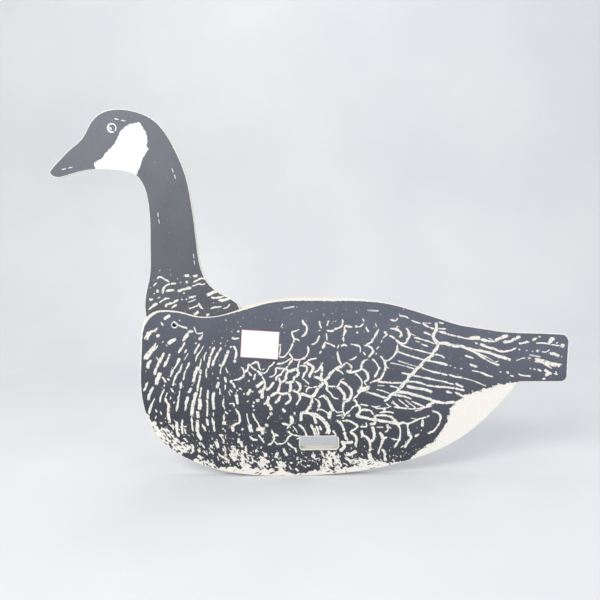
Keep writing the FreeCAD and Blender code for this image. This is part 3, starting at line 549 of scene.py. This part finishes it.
def body_print(seed):
    """Unprinted shapes on a body board, and ink specks that fall inside them."""
    rng = random.Random(seed)
    bare, specks = [], []
    for text in (BREAST, NET, WING, TAIL):
        light, dark = strokes(text, rng)
        bare += light
        specks += dark
    for outline, amount, count, spread, large, lean, dark_marks in (
        (RUMP, 1.0, 120, 1.2, 0.7, 30, 0),
        (BREAST_EDGE, 1.5, 90, 2.6, 1.3, -48, 190),
        (BREAST_EDGE_2, 1.4, 40, 2.4, 1.2, -25, 40),
        (BELLY_EDGE, 1.6, 300, 2.4, 1.3, 10, 110),
    ):
        bare.append(torn(outline, rng, 1.0, amount))
        light, dark = fray(outline, rng, count, spread, 0.3, large)
        bare += light
        specks += dark
        if dark_marks:
            specks += bristles(rng, outline, dark_marks, lean, 0.7, 2.1)
    for patch, lean in zip(PATCHES, (-50, -60, -75, -60, -50, -20, -80)):
        bare += bristles(rng, patch, 38, lean, 1.0, 3.0)
        specks += bristles(rng, patch, 9, lean + 40, 0.5, 1.4)
    bare += scatter(rng, 120, 60, 245, -213, -168, 0.35, 1.7, lambda u, v: 0.25 + 0.75 * (v < -190))
    bare += scatter(rng, 210, -38, 330, -205, -128, 0.25, 0.9, lambda u, v: 0.9 if v < -150 else 0.5)
    bare += scatter(rng, 110, 60, 210, -172, -60, 0.25, 1.0, lambda u, v: 0.6)
    bare += scatter(rng, 90, -38, 80, -170, -5, 0.2, 0.7)
    bare += scatter(rng, 120, 60, 330, -14, 24, 0.2, 0.8, lambda u, v: 0.8)
    bare += scatter(rng, 60, 300, 515, -80, -12, 0.2, 0.6)
    bare += bristles(rng, LOWER_BREAST, 120, -52, 0.6, 2.0)
    bare += bristles(rng, LOWER_BELLY, 120, -60, 0.5, 1.6)
    return bare, specks


def neck_print(seed):
    """Unprinted shapes on a neck board, the white of its cheek and eye, and the ink over them."""
    rng = random.Random(seed)
    bare, specks = strokes(NECK_PRINT, rng)
    bare += scatter(rng, 60, -36, 80, 12, 76, 0.2, 0.7)
    bare += scatter(rng, 24, -150, 25, 80, 275, 0.15, 0.35)
    light, dark = fray(CHEEK, rng, 90, 0.6, 0.15, 0.45)
    u, v = EYE
    eye = [eye_ring(u, v, 6.2, rng)]
    gap = smooth_line([(u + 2.0, v - 3.0), (u + 4.4, v - 6.4)], 1.0)
    pupil = [eye_ring(u + 0.5, v + 0.15, 4.3, rng), ribbon(gap, 2.3, rng, 0.08, 0.1)]
    glint = smooth_line([(u - 3.9, v + 0.2), (u - 1.5, v - 0.3), (u - 0.9, v - 2.5)], 0.6)
    spark = [ribbon(glint, 1.9, rng, 0.08, 0.1)]
    return bare, specks, [torn(CHEEK, rng, 0.9, 1.0)] + light + eye, dark + pupil, spark


def eye_ring(u, v, radius, rng):
    """A hand-cut circle."""
    turns = np.linspace(0, 2 * math.pi, 27)[:-1]
    sizes = [radius * rng.uniform(0.975, 1.02) for _ in turns]
    return [(u + r * math.cos(a), v + r * math.sin(a)) for r, a in zip(sizes, turns)]


# ---- meshes ----
def triangles(outlines):
    """Triangulate every outline together; returns points, triangles and each point's source."""
    verts, edges = [], []
    for ring in outlines:
        first = len(verts)
        verts += [Vector((float(a), float(b))) for a, b in ring]
        count = len(ring)
        edges += [(first + i, first + (i + 1) % count) for i in range(count)]
    points, _, faces, origin, _, _ = geometry.delaunay_2d_cdt(verts, edges, [], 0, 1e-5)
    source = [o[0] if o else -1 for o in origin]
    return np.array([tuple(p) for p in points]), np.array([f for f in faces if len(f) == 3]), source


def sheet_mesh(name, points, tris, y_out, y_in):
    """A closed thin film over flat triangles, from y_in out to y_out."""
    a, b, c = points[tris[:, 0]], points[tris[:, 1]], points[tris[:, 2]]
    cross = (b - a)[:, 0] * (c - a)[:, 1] - (b - a)[:, 1] * (c - a)[:, 0]
    real = np.abs(cross) > 1e-7
    near = y_out < y_in
    tris = np.array([t if (s > 0) == near else t[::-1] for t, s in zip(tris[real], cross[real])])
    tris, spots = split_corners(tris, points)
    count = len(spots)
    verts = [to_row(u, v, y_out) for u, v in spots] + [to_row(u, v, y_in) for u, v in spots]
    faces = [tuple(int(i) for i in t) for t in tris]
    edges = {(t[i], t[(i + 1) % 3]): None for t in faces for i in range(3)}
    walls = [(j, i, i + count, j + count) for i, j in edges if (j, i) not in edges]
    backs = [(t[2] + count, t[1] + count, t[0] + count) for t in faces]
    return new_object(name, verts, faces + walls + backs)


def split_corners(tris, points):
    """Give islands that touch only at a corner their own copy of it."""
    around = {}
    for k, t in enumerate(tris):
        for i in t:
            around.setdefault(int(i), []).append(k)
    out, spots = np.zeros_like(tris), []
    for i, group in around.items():
        left = set(group)
        while left:
            fan = [left.pop()]
            grow = list(fan)
            while grow:
                k = grow.pop()
                mine = set(int(n) for n in tris[k]) - {i}
                for m in list(left):
                    if mine & (set(int(n) for n in tris[m]) - {i}):
                        left.remove(m)
                        fan.append(m)
                        grow.append(m)
            for k in fan:
                out[k][tris[k] == i] = len(spots)
            spots.append(points[i])
    return out, spots


def new_object(name, verts, faces):
    """A mesh piece in the scene."""
    mesh = bpy.data.meshes.new(name)
    mesh.from_pydata(verts, [], faces)
    mesh.update()
    mesh.validate()
    piece = bpy.data.objects.new(name, mesh)
    bpy.context.scene.collection.objects.link(piece)
    return piece


def board(name, node, y_out, y_in):
    """The visible board: the CAD outline with softly rounded die-cut edges on both faces."""
    loops = face_loops(node, y_out)
    side = 1 if y_in > y_out else -1
    verts, faces, rims, rears = [], [], [], []
    for loop in loops:
        ring = np.array(loop)
        r = EDGE_SOFT if abs(area(loop)) > BIG_LOOP else HOLE_SOFT
        levels = [(r, y_out), (0.3 * r, y_out + side * 0.3 * r), (0, y_out + side * r)]
        levels += [(0, y_in - side * r), (0.3 * r, y_in - side * 0.3 * r), (r, y_in)]
        first = len(verts)
        for depth, y in levels:
            moved = inset(ring, depth)
            verts += [to_row(u, v, y) for u, v in moved]
        n = len(ring)
        for level in range(len(levels) - 1):
            for i in range(n):
                j = (i + 1) % n
                a, b = first + level * n + i, first + level * n + j
                quad = (a, b, b + n, a + n)
                faces.append(quad[::-1] if side > 0 else quad)
        rims.append((first, n, inset(ring, r)))
    points, tris, source = triangles([rim for _, _, rim in rims])
    centre = points[tris].mean(1)
    keep = inside(rims[0][2], centre)
    for _, _, rim in rims[1:]:
        keep &= ~inside(rim, centre)
    index = []
    for first, n, _ in rims:
        index += [(first + i, first + 5 * n + i) for i in range(n)]
    for t in tris[keep]:
        corners = [index[source[i]] for i in t]
        p = points[t]
        turn = (p[1] - p[0])[0] * (p[2] - p[0])[1] - (p[1] - p[0])[1] * (p[2] - p[0])[0]
        front = [c[0] for c in corners]
        rear = [c[1] for c in corners]
        flip = (turn > 0) != (side > 0)
        faces.append(tuple(front[::-1]) if flip else tuple(front))
        faces.append(tuple(rear) if flip else tuple(rear[::-1]))
        rears.append(len(faces) - 1)
    piece = new_object(name, verts, faces)
    # Inner faces get the second material, the painted-shade board.
    for k in rears:
        piece.data.polygons[k].material_index = 1
    return piece


def margins(points, bumps, rng):
    """Width of the unprinted rim at each outline point."""
    widths = []
    for u, v in points:
        width = RIM
        for bu, bv, spread, extra in bumps:
            width += extra * math.exp(-((u - bu) ** 2 + (v - bv) ** 2) / (2 * spread ** 2))
        widths.append(width * rng.uniform(0.82, 1.2))
    return widths


def printed(prefix, node, y_face, bumps, seed, bare, specks, white=(), over=(), spark=()):
    """Ink film over a board's outer face, left open where it is bare; returns ink and white films."""
    rng = random.Random(seed)
    big = [p for p in face_loops(node, y_face) if abs(area(p)) > BIG_LOOP]
    turn = np.linspace(0, 2 * math.pi, 28)[:-1]
    pivot_hole = [(INK_HOLE_R * math.cos(a), INK_HOLE_R * math.sin(a)) for a in turn]
    outer = spaced(big[0], 1.6)
    edge = inset(outer, margins(outer, bumps, rng))
    holes = [pivot_hole]
    for hole in big[1:]:
        ring = spaced(hole, 2.0)
        holes.append(inset(ring, [SLOT_RIM * rng.uniform(0.7, 1.2) for _ in ring]))
    rim = inset(outer, 0.45)
    outlines = [edge, rim, *holes, *bare, *specks, *white, *over, *spark]
    points, tris, _ = triangles(outlines)
    centre = points[tris].mean(1)
    open_hole = covered(holes, centre)
    bright = (covered(white, centre) & ~covered(over, centre)) | covered(spark, centre)
    dark = inside(edge, centre) & (~covered(bare, centre) | covered(specks, centre) | covered(over, centre))
    y_film = y_face + (-INK if y_face < MID_Y else INK)
    ink = sheet_mesh(prefix + "_ink", points, tris[dark & ~open_hole & ~bright], y_film, y_face)
    if not white:
        return ink, None
    film = tris[inside(rim, centre) & ~open_hole & bright]
    return ink, sheet_mesh(prefix + "_white", points, film, y_film, y_face)


def covered(polygons, pts):
    """Points inside any of many small polygons."""
    hit = np.zeros(len(pts), bool)
    for polygon in polygons:
        p = np.array(polygon)
        near = np.where(
            (pts[:, 0] > p[:, 0].min()) & (pts[:, 0] < p[:, 0].max())
            & (pts[:, 1] > p[:, 1].min()) & (pts[:, 1] < p[:, 1].max())
        )[0]
        if len(near):
            hit[near] |= inside(p, pts[near])
    return hit


def softened(node, amount, name):
    """A copy of a small CAD piece with its edges eased."""
    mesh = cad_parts[node].data.copy()
    mesh.name = name
    work = bmesh.new()
    work.from_mesh(mesh)
    bmesh.ops.remove_doubles(work, verts=work.verts, dist=2e-6)
    bmesh.ops.dissolve_limit(work, angle_limit=math.radians(1), verts=work.verts, edges=work.edges)
    sharp = [e for e in work.edges if e.is_manifold and e.calc_face_angle(0) > math.radians(40)]
    bmesh.ops.bevel(
        work, geom=sharp, offset=amount / 1000, segments=2, profile=0.6, affect="EDGES", clamp_overlap=True
    )
    bmesh.ops.triangulate(work, faces=work.faces)
    work.to_mesh(mesh)
    work.free()
    mesh.materials.clear()
    piece = bpy.data.objects.new(name, mesh)
    bpy.context.scene.collection.objects.link(piece)
    return piece


def turned(name, profile, turns=64):
    """Revolve a closed outline of (radius, y) about the pivot's axis."""
    verts, faces = [], []
    n = len(profile)
    for k in range(turns):
        a = 2 * math.pi * k / turns
        verts += [to_row(r * math.cos(a), r * math.sin(a), y) for r, y in profile]
    for k in range(turns):
        m = (k + 1) % turns
        for i in range(n):
            j = (i + 1) % n
            faces.append((k * n + i, k * n + j, m * n + j, m * n + i))
    piece = new_object(name, verts, faces)
    outward(piece)
    for face in piece.data.polygons:
        face.use_smooth = True
    return piece


def outward(piece):
    """Make a closed mesh's faces point out."""
    work = bmesh.new()
    work.from_mesh(piece.data)
    bmesh.ops.recalc_face_normals(work, faces=work.faces)
    work.to_mesh(piece.data)
    work.free()


# ---- materials ----
def material(name, colour, rough, metal=0.0):
    """A plain material; returns it with its node tree and its shader."""
    mat = bpy.data.materials.new(name)
    mat.use_nodes = True
    tree = mat.node_tree
    shader = tree.nodes["Principled BSDF"]
    shader.inputs["Base Color"].default_value = (*colour, 1)
    shader.inputs["Roughness"].default_value = rough
    shader.inputs["Metallic"].default_value = metal
    return mat, tree, shader


def add(tree, kind, **values):
    """A new node with its settings or inputs set by name."""
    node = tree.nodes.new(kind)
    for key, value in values.items():
        if hasattr(node, key):
            setattr(node, key, value)
        else:
            node.inputs[key].default_value = value
    return node


def noise(tree, scale, detail, rough, stretch=(1, 1, 1)):
    """Noise in the piece's own coordinates, in cycles per metre."""
    where = add(tree, "ShaderNodeTexCoord")
    mapping = add(tree, "ShaderNodeMapping")
    mapping.inputs["Scale"].default_value = stretch
    tree.links.new(where.outputs["Object"], mapping.inputs["Vector"])
    node = add(tree, "ShaderNodeTexNoise", Scale=scale, Detail=detail, Roughness=rough)
    tree.links.new(mapping.outputs["Vector"], node.inputs["Vector"])
    return node.outputs["Fac"]


def ramp(tree, source, stops):
    """Colours along the source's value, as (place, colour) stops."""
    node = add(tree, "ShaderNodeValToRGB")
    bar = node.color_ramp
    while len(bar.elements) < len(stops):
        bar.elements.new(0.5)
    for element, (place, colour) in zip(bar.elements, stops):
        element.position = place
        element.color = (*colour, 1)
    tree.links.new(source, node.inputs["Fac"])
    return node.outputs["Color"]


def mix(tree, amount, a, b):
    """Colour a turning into colour b by the amount; each colour is three numbers or a socket."""
    node = tree.nodes.new("ShaderNodeMix")
    node.data_type = "RGBA"
    tree.links.new(amount, node.inputs[0])
    sockets = [s for s in node.inputs if s.type == "RGBA"]
    for value, socket in zip((a, b), sockets):
        if isinstance(value, bpy.types.NodeSocket):
            tree.links.new(value, socket)
        else:
            socket.default_value = (*value, 1)
    return [s for s in node.outputs if s.type == "RGBA"][0]


def fade(tree, source, low, high, a, b, most=1.0):
    """Colour a where the source is below low, turning into colour b, or most of it, at high."""
    return mix(tree, ramp(tree, source, [(low, (0, 0, 0)), (high, (most,) * 3)]), a, b)


def darker(colour, part):
    return tuple(c * part for c in colour)


def bump(tree, shader, height, distance, strength):
    node = add(tree, "ShaderNodeBump", Strength=strength, Distance=distance)
    tree.links.new(height, node.inputs["Height"])
    tree.links.new(node.outputs["Normal"], shader.inputs["Normal"])


def board_material(name, colour, shade, edge):
    """Uncoated fibreboard: fibre flecks, faint handling stains, and plies showing on the cut edge."""
    mat, tree, shader = material(name, colour, 0.9)
    fibre = noise(tree, 900, 6, 0.7, (1, 3.5, 0.6))
    stain = noise(tree, 14, 4, 0.6)
    fleck = noise(tree, 1500, 2, 0.5)
    tone = fade(tree, fibre, 0.3, 0.75, shade, colour)
    tone = fade(tree, stain, 0.55, 0.8, tone, shade, 0.35)
    tone = fade(tree, fleck, 0.7, 0.78, tone, (0.30, 0.25, 0.18), 0.5)
    facing = add(tree, "ShaderNodeSeparateXYZ")
    tree.links.new(add(tree, "ShaderNodeNewGeometry").outputs["Normal"], facing.inputs["Vector"])
    flat = add(tree, "ShaderNodeMath", operation="ABSOLUTE")
    tree.links.new(facing.outputs["Y"], flat.inputs[0])
    side = ramp(tree, flat.outputs[0], [(0.3, (1, 1, 1)), (0.8, (0, 0, 0))])
    plies = noise(tree, 60, 3, 0.6, (1, 34, 1))
    tone = mix(tree, side, tone, fade(tree, plies, 0.38, 0.6, darker(edge, 0.74), edge))
    tree.links.new(tone, shader.inputs["Base Color"])
    bump(tree, shader, fibre, 0.00012, 0.5)
    return mat


def ink_material(name, colour, low, high, levels):
    """Flat screen-printed ink: an uneven coat with pinholes. Its colour is scaled from low to high
    while Z + levels[2] * X goes from levels[0] to levels[1], in metres; this scaling is painted light and
    shade."""
    mat, tree, shader = material(name, colour, 0.62)
    coat = noise(tree, 34, 5, 0.6)
    grain = noise(tree, 1200, 3, 0.6)
    pin = noise(tree, 620, 2, 0.4)
    tone = fade(tree, coat, 0.35, 0.68, darker(colour, 0.90), darker(colour, 1.12))
    where = add(tree, "ShaderNodeSeparateXYZ")
    tree.links.new(add(tree, "ShaderNodeTexCoord").outputs["Object"], where.inputs["Vector"])
    climb = add(tree, "ShaderNodeMath", operation="MULTIPLY_ADD")
    tree.links.new(where.outputs["X"], climb.inputs[0])
    climb.inputs[1].default_value = levels[2]
    tree.links.new(where.outputs["Z"], climb.inputs[2])
    # Painted light and shade: the ink is darker low down and lighter higher up.
    painted_light_ramp = ramp(tree, climb.outputs[0], [(levels[0], (low,) * 3), (levels[1], (high,) * 3)])
    scaled = add(tree, "ShaderNodeVectorMath", operation="MULTIPLY")
    tree.links.new(tone, scaled.inputs[0])
    tree.links.new(painted_light_ramp, scaled.inputs[1])
    worn = ramp(tree, grain, [(0.35, (0.5,) * 3), (0.7, (0, 0, 0))])
    tone = mix(tree, worn, scaled.outputs[0], darker(colour, 0.72))
    tone = fade(tree, pin, 0.735, 0.77, tone, (0.55, 0.52, 0.46), 0.75)
    tree.links.new(tone, shader.inputs["Base Color"])
    dull = ramp(tree, coat, [(0.3, (0.52, 0.52, 0.52)), (0.7, (0.7, 0.7, 0.7))])
    tree.links.new(dull, shader.inputs["Roughness"])
    bump(tree, shader, grain, 0.00006, 0.5)
    return mat


def white_material(name):
    """White screen print on the cheek and eye."""
    mat, tree, shader = material(name, (0.90, 0.90, 0.88), 0.6)
    coat = noise(tree, 60, 4, 0.6)
    grain = noise(tree, 1100, 3, 0.6)
    tone = fade(tree, coat, 0.35, 0.7, (0.82, 0.81, 0.78), (0.93, 0.93, 0.92))
    tone = fade(tree, grain, 0.72, 0.8, tone, (0.5, 0.5, 0.48), 0.3)
    tree.links.new(tone, shader.inputs["Base Color"])
    bump(tree, shader, grain, 0.00005, 0.4)
    return mat


def metal_material(name, colour, rough):
    """Drawn or rolled metal with fine scratches and dull patches."""
    mat, tree, shader = material(name, colour, rough, 1.0)
    scratch = noise(tree, 700, 4, 0.7, (0.25, 1, 5))
    patch = noise(tree, 160, 4, 0.6)
    tone = fade(tree, patch, 0.4, 0.75, colour, darker(colour, 0.66))
    tree.links.new(tone, shader.inputs["Base Color"])
    dull = ramp(tree, scratch, [(0.3, (rough * 0.8,) * 3), (0.7, (min(1.0, rough * 1.5),) * 3)])
    tree.links.new(dull, shader.inputs["Roughness"])
    bump(tree, shader, scratch, 0.00003, 0.5)
    return mat


def tag_material(half_u, half_v):
    """White paper with a thin dark red printed border, in the tag's own coordinates."""
    mat, tree, shader = material("tag_paper", (0.86, 0.86, 0.85), 0.8)
    where = add(tree, "ShaderNodeTexCoord")
    split = add(tree, "ShaderNodeSeparateXYZ")
    tree.links.new(where.outputs["Object"], split.inputs["Vector"])
    edge = None
    for axis, half in (("X", half_u), ("Z", half_v)):
        size = add(tree, "ShaderNodeMath", operation="ABSOLUTE")
        tree.links.new(split.outputs[axis], size.inputs[0])
        past = add(tree, "ShaderNodeMath", operation="GREATER_THAN")
        tree.links.new(size.outputs[0], past.inputs[0])
        past.inputs[1].default_value = half - TAG_BORDER / 1000
        if edge is None:
            edge = past
        else:
            both = add(tree, "ShaderNodeMath", operation="MAXIMUM")
            tree.links.new(edge.outputs[0], both.inputs[0])
            tree.links.new(past.outputs[0], both.inputs[1])
            edge = both
    grain = noise(tree, 1300, 4, 0.6)
    soil = noise(tree, 60, 4, 0.6)
    tone = fade(tree, soil, 0.5, 0.85, (0.88, 0.88, 0.875), (0.80, 0.785, 0.76), 0.6)
    tone = mix(tree, edge.outputs[0], tone, (0.30, 0.055, 0.09))
    tree.links.new(tone, shader.inputs["Base Color"])
    bump(tree, shader, grain, 0.00004, 0.5)
    return mat


def paint(piece, mat, body, slot, *nodes):
    """Give a piece its material and the body it rides on, and hide the fixed nodes it replaces; slot is not
    used.
    """
    piece.data.materials.clear()
    piece.data.materials.append(mat)
    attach(piece, body)
    if nodes:
        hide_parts(*nodes)
    return piece


# ---- build ----
cream = board_material("fibreboard", (0.90, 0.875, 0.82), (0.80, 0.76, 0.68), (0.84, 0.78, 0.66))
# Dark brown board for the inner faces and the spacers: painted shade for the narrow gap between the body
# boards, not the board's own cream.
gap_shade_board = board_material("fibreboard_painted_gap_shade", (0.25, 0.22, 0.18), (0.18, 0.155, 0.125), (0.60, 0.54, 0.44))
# low, high and levels give painted light: body ink darker at the belly and lighter along the back and tail,
# neck ink lighter toward the head.
body_ink = ink_material("body_ink", (0.112, 0.122, 0.160), 0.22, 1.02, (0.07, 0.225, 0.14))
neck_ink = ink_material("neck_ink", (0.198, 0.205, 0.238), 0.35, 0.86, (0.325, 0.635, -0.5))
white = white_material("white_print")
wire = metal_material("staple_wire", (0.80, 0.81, 0.83), 0.45)
eyelet_metal = metal_material("eyelet_metal", (0.86, 0.86, 0.86), 0.30)
# Near-black metal for the eyelet's bore: painted shade inside the hole.
bore_painted_shade = metal_material("eyelet_bore_painted_shade", (0.035, 0.035, 0.04), 0.7)

for prefix, body, y_out, y_in in (
    ("near_body", "body", NEAR_OUT, NEAR_IN),
    ("far_body", "body", FAR_OUT, FAR_IN),
    ("near_neck", "neck", MID_Y - THICK, MID_Y),
    ("far_neck", "neck", MID_Y + THICK, MID_Y),
):
    piece = board(prefix + "_board", prefix + "_panel", y_out, y_in)
    paint(piece, cream, body, "plain_fibreboard", prefix + "_panel")
    # The inner faces take the painted-shade board.
    piece.data.materials.append(gap_shade_board)

for prefix, y, bumps, seed in (
    ("near_body", NEAR_OUT, NEAR_MARGINS, 11),
    ("far_body", FAR_OUT, FAR_MARGINS, 12),
):
    ink, _ = printed(prefix, prefix + "_panel", y, bumps, seed, *body_print(seed))
    paint(ink, body_ink, "body", "printed_fibreboard")
for prefix, y, seed in (("near_neck", MID_Y - THICK, 21), ("far_neck", MID_Y + THICK, 22)):
    ink, film = printed(prefix, prefix + "_panel", y, NECK_MARGINS, seed, *neck_print(seed))
    paint(ink, neck_ink, "neck", "printed_fibreboard")
    paint(film, white, "neck", "plain_fibreboard")

for end in ("front", "rear", "tail"):
    for side in ("near", "far"):
        node = end + "_spacer_" + side
        # The spacers take the painted-shade board too.
        paint(softened(node, SPACER_SOFT, node + "_block"), gap_shade_board, "body", "plain_fibreboard", node)
for body, names in (
    ("body", ("front_ridge", "rear_ridge", "tail")),
    ("neck", ("crown", "bill", "nape", "throat", "shoulder")),
):
    for name in names:
        node = name + "_staple"
        paint(softened(node, WIRE_SOFT, name + "_wire"), wire, body, "staple_wire", node)


def rolled(edge_r, y, out):
    """Half a turn of rolled metal, from the bore to edge_r, standing out from y."""
    sweep = np.linspace(0.0, math.pi, 15)
    return [(BORE_R + (edge_r - BORE_R) / 2 * (1 - math.cos(a)), y + out * math.sin(a)) for a in sweep]


def pivot_eyelet():
    """The hollow eyelet, its bore in near-black metal as painted shade, and the washer under its far lip."""
    near, far = MID_Y - OUT, MID_Y + OUT + WASHER_T
    barrel = [(BARREL_R, near), (BARREL_R, far)]
    eyelet = turned("eyelet_rolled", rolled(FLANGE_R, near, -ROLL) + barrel + rolled(LIP_R, far, ROLL)[::-1])
    paint(eyelet, eyelet_metal, "body", "eyelet_metal", "neck_pivot_eyelet")
    eyelet.data.materials.append(bore_painted_shade)
    radii = [math.hypot(v.co.x * 1000 - PIVOT_X, v.co.z * 1000 - PIVOT_Z) for v in eyelet.data.vertices]
    # Faces of the bore take the painted-shade metal.
    for face in eyelet.data.polygons:
        if max(radii[i] for i in face.vertices) < BORE_R + 0.12:
            face.material_index = 1
    ring = [(WASHER_IN, MID_Y + OUT), (WASHER_R, MID_Y + OUT), (WASHER_R, far - WASHER_CHAMFER)]
    ring += [(WASHER_R - WASHER_CHAMFER, far), (WASHER_IN, far)]
    paint(turned("washer_flat", ring, 48), eyelet_metal, "body", "eyelet_metal", "pivot_washer")


def paper_tag():
    """Price tag: thin paper, one lower corner lifting a little off the board."""
    columns, rows = 30, 24
    centre = Vector(to_row(TAG_U, TAG_V, NEAR_OUT - INK))
    verts = []
    for layer in (0, 1):
        for j in range(rows + 1):
            for i in range(columns + 1):
                x, z = (i / columns - 0.5) * TAG_WIDE, (j / rows - 0.5) * TAG_TALL
                lift = 0.9 * max(0.0, (x / TAG_WIDE - z / TAG_TALL) - 0.62) ** 1.5 * 6
                lift += 0.45 * max(0.0, (-x / TAG_WIDE - z / TAG_TALL) - 0.7) ** 1.5 * 6
                verts.append((x / 1000, -(lift + TAG_THICK * (1 - layer)) / 1000, z / 1000))
    n, size = columns + 1, (columns + 1) * (rows + 1)
    faces = []
    for j in range(rows):
        for i in range(columns):
            a = j * n + i
            faces.append((a, a + 1, a + n + 1, a + n))
            faces.append((a + size, a + n + size, a + n + 1 + size, a + 1 + size))
    border = list(range(n)) + [j * n + columns for j in range(1, rows + 1)]
    border += [rows * n + i for i in range(columns - 1, -1, -1)] + [j * n for j in range(rows - 1, 0, -1)]
    for a, b in zip(border, border[1:] + border[:1]):
        faces.append((b, a, a + size, b + size))
    piece = new_object("tag_sticker", verts, faces)
    outward(piece)
    for face in piece.data.polygons:
        face.use_smooth = abs(face.normal.y) > 0.7
    piece.matrix_world = Matrix.Translation(centre) @ Matrix.Rotation(TAG_TURN, 4, "Y")
    bpy.context.view_layer.update()
    return piece


pivot_eyelet()
tag_paper = tag_material(TAG_WIDE / 2000, TAG_TALL / 2000)
paint(paper_tag(), tag_paper, "body", "tag_paper", "price_tag")


# ---- stage, light and camera ----
def stage():
    """Pale seamless floor that sweeps up into a backdrop."""
    half_wide, front, back, radius, top, drop = 3.2, -2.6, 0.55, 0.5, 2.6, 0.0002
    line = [(front, 0.0), (back, 0.0)]
    for a in np.linspace(0.12, 1.5708, 12):
        line.append((back + radius * math.sin(a), radius - radius * math.cos(a)))
    line.append((back + radius, top))
    verts = [(x, y, z - drop) for y, z in line for x in (-half_wide, half_wide)]
    faces = [(2 * i, 2 * i + 1, 2 * i + 3, 2 * i + 2) for i in range(len(line) - 1)]
    floor = new_object("studio_floor", verts, faces)
    for face in floor.data.polygons:
        face.use_smooth = True
    mat, tree, shader = material("studio_paper", (0.72, 0.73, 0.74), 0.85)
    soft = noise(tree, 3, 3, 0.5)
    tone = ramp(tree, soft, [(0.3, (0.69, 0.70, 0.715)), (0.7, (0.75, 0.755, 0.765))])
    tree.links.new(tone, shader.inputs["Base Color"])
    floor.data.materials.append(mat)


def lamp(name, place, target, size, power, tint=(1, 1, 1)):
    data = bpy.data.lights.new(name, "AREA")
    data.shape = "RECTANGLE"
    data.size, data.size_y = size
    data.energy = power
    data.color = tint
    light = bpy.data.objects.new(name, data)
    light.location = place
    light.rotation_euler = (Vector(target) - Vector(place)).to_track_quat("-Z", "Y").to_euler()
    bpy.context.scene.collection.objects.link(light)


def camera():
    """Eye level with the neck, looking slightly down at the near side."""
    data = bpy.data.cameras.new("camera")
    data.lens = 39.0
    data.sensor_width = 36.0
    data.dof.use_dof = False
    view = bpy.data.objects.new("camera", data)
    down, aside, roll = math.radians(9.25), math.radians(0.7), math.radians(-0.83)
    turn = Matrix.Rotation(aside, 4, "Z") @ Matrix.Rotation(math.radians(90) - down, 4, "X")
    turn = turn @ Matrix.Rotation(roll, 4, "Z")
    view.matrix_world = Matrix.Translation((-0.0078, -0.8636, 0.3882)) @ turn
    bpy.context.scene.collection.objects.link(view)
    bpy.context.scene.camera = view


stage()
lamp("key", (-0.9, -1.5, 1.5), (0.0, 0.0, 0.22), (1.1, 0.9), 30, (1.0, 0.985, 0.96))
lamp("fill", (1.5, -1.2, 0.7), (0.0, 0.0, 0.2), (1.2, 1.2), 10, (0.95, 0.97, 1.0))
lamp("top", (0.1, 0.1, 2.0), (0.0, 0.0, 0.2), (1.6, 1.0), 14)
world = bpy.data.worlds.new("world")
world.use_nodes = True
world.node_tree.nodes["Background"].inputs["Color"].default_value = (0.86, 0.90, 0.96, 1)
world.node_tree.nodes["Background"].inputs["Strength"].default_value = 0.42
bpy.context.scene.world = world
bpy.context.scene.view_settings.view_transform = "Standard"
camera()
